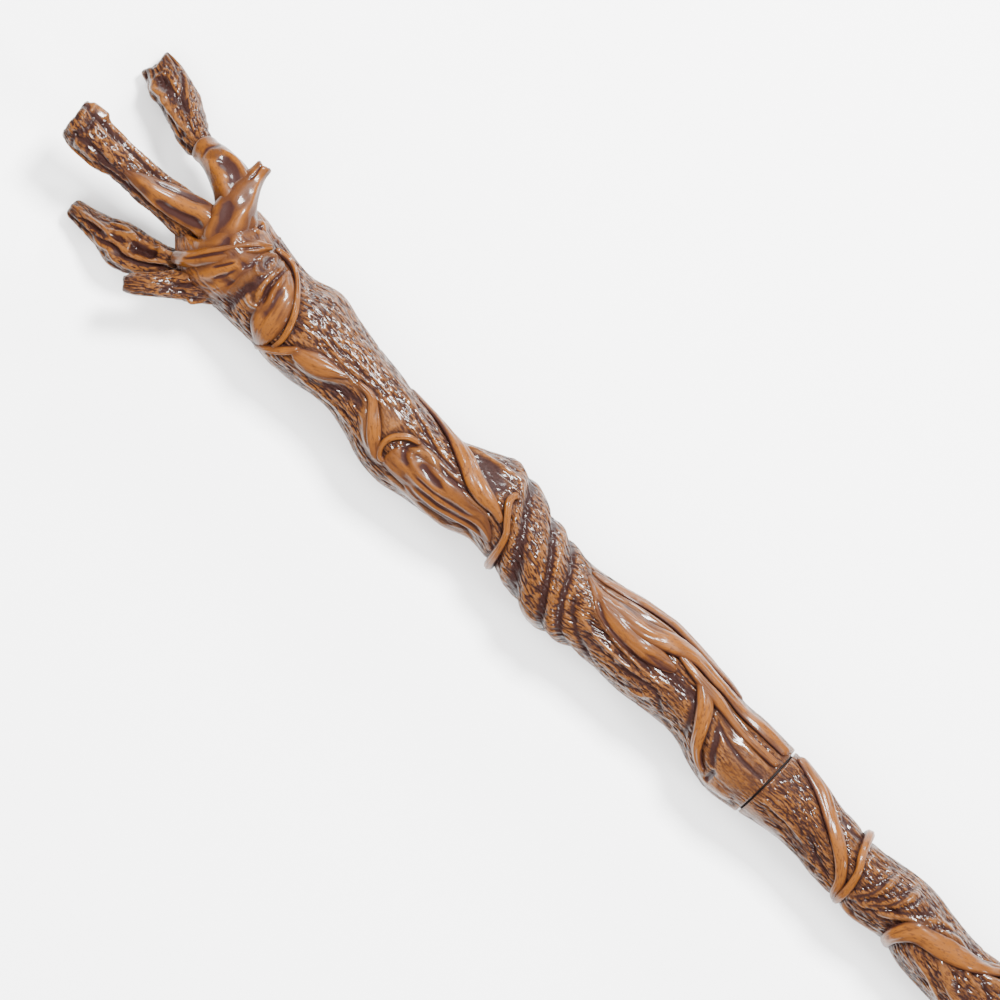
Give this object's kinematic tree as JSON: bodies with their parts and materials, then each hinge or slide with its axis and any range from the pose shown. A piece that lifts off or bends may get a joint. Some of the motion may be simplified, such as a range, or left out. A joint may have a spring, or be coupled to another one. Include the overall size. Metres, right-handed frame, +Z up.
{
  "type": "magic wand",
  "caption": "Gnarled root-and-vine wand in two glossy castings that screw together at a flat seam, with forked root prongs at the head.",
  "frame": {"origin": "on the table, under the middle of the wand's outline as it lies flat", "axes": "+X runs along the wand from the butt to the prongs, +Z up from the table, +Y to the side of the lower and stub prongs"},
  "size_m": [0.363, 0.0453, 0.0238],
  "materials": {
    "bark_resin": "cast resin with carved bark grain, dark umber wash in the grooves, gloss varnish",
    "root_resin": "smooth cast resin, tan brown stain darkening into the creases, gloss varnish",
    "plug_resin": "turned dark resin with fine lathe rings, satin varnish",
    "core_steel": "ground steel rod",
    "brass": "turned brass",
    "washer_rubber": "matt black nitrile"
  },
  "bodies": {
    "handle": {"handle_trunk": "bark_resin", "handle_core": "core_steel", "socket_insert": "brass", "butt_burl": "bark_resin", "butt_plug": "plug_resin", "handle_vine": "root_resin", "handle_tendril": "root_resin", "handle_root": "root_resin", "grip_vine": "root_resin", "butt_vine": "root_resin"},
    "seam_washer": {"friction_washer": "washer_rubber"},
    "shaft": {"shaft_trunk": "bark_resin", "shaft_core": "core_steel", "screw_stud": "brass", "seam_root": "root_resin", "seam_rib": "root_resin", "curl_vine": "root_resin", "spread_root": "root_resin", "flank_vine": "root_resin", "back_vine": "root_resin", "hook_tendril": "root_resin", "mantle_root": "root_resin", "side_vine": "root_resin", "lip_vine": "root_resin", "fork_vine": "root_resin", "leaf_root": "root_resin", "ledge_tendril": "root_resin", "crown_knot": "root_resin", "brow_vine": "root_resin", "fold_vine": "root_resin", "crown_wrap": "root_resin", "upper_arm": "root_resin", "thorn_root": "root_resin", "middle_arm": "root_resin", "prong_upper": "bark_resin", "prong_middle": "bark_resin", "prong_lower": "bark_resin", "prong_stub": "bark_resin", "prong_pins": "core_steel"}
  },
  "joints": [
    {"name": "unscrew_travel", "type": "slide", "parent": "handle", "child": "seam_washer", "axis": [1, 0, 0], "range_m": [0, 0.015]},
    {"name": "unscrew_turn", "type": "hinge", "parent": "seam_washer", "child": "shaft", "pos_m": [-0.03325, 0, 0.012], "axis": [1, 0, 0], "range_deg": [0, 4325]}
  ],
  "couplings": [
    {"joint": "unscrew_turn", "follows": "unscrew_travel", "rad_per_m": 5026.5}
  ]
}
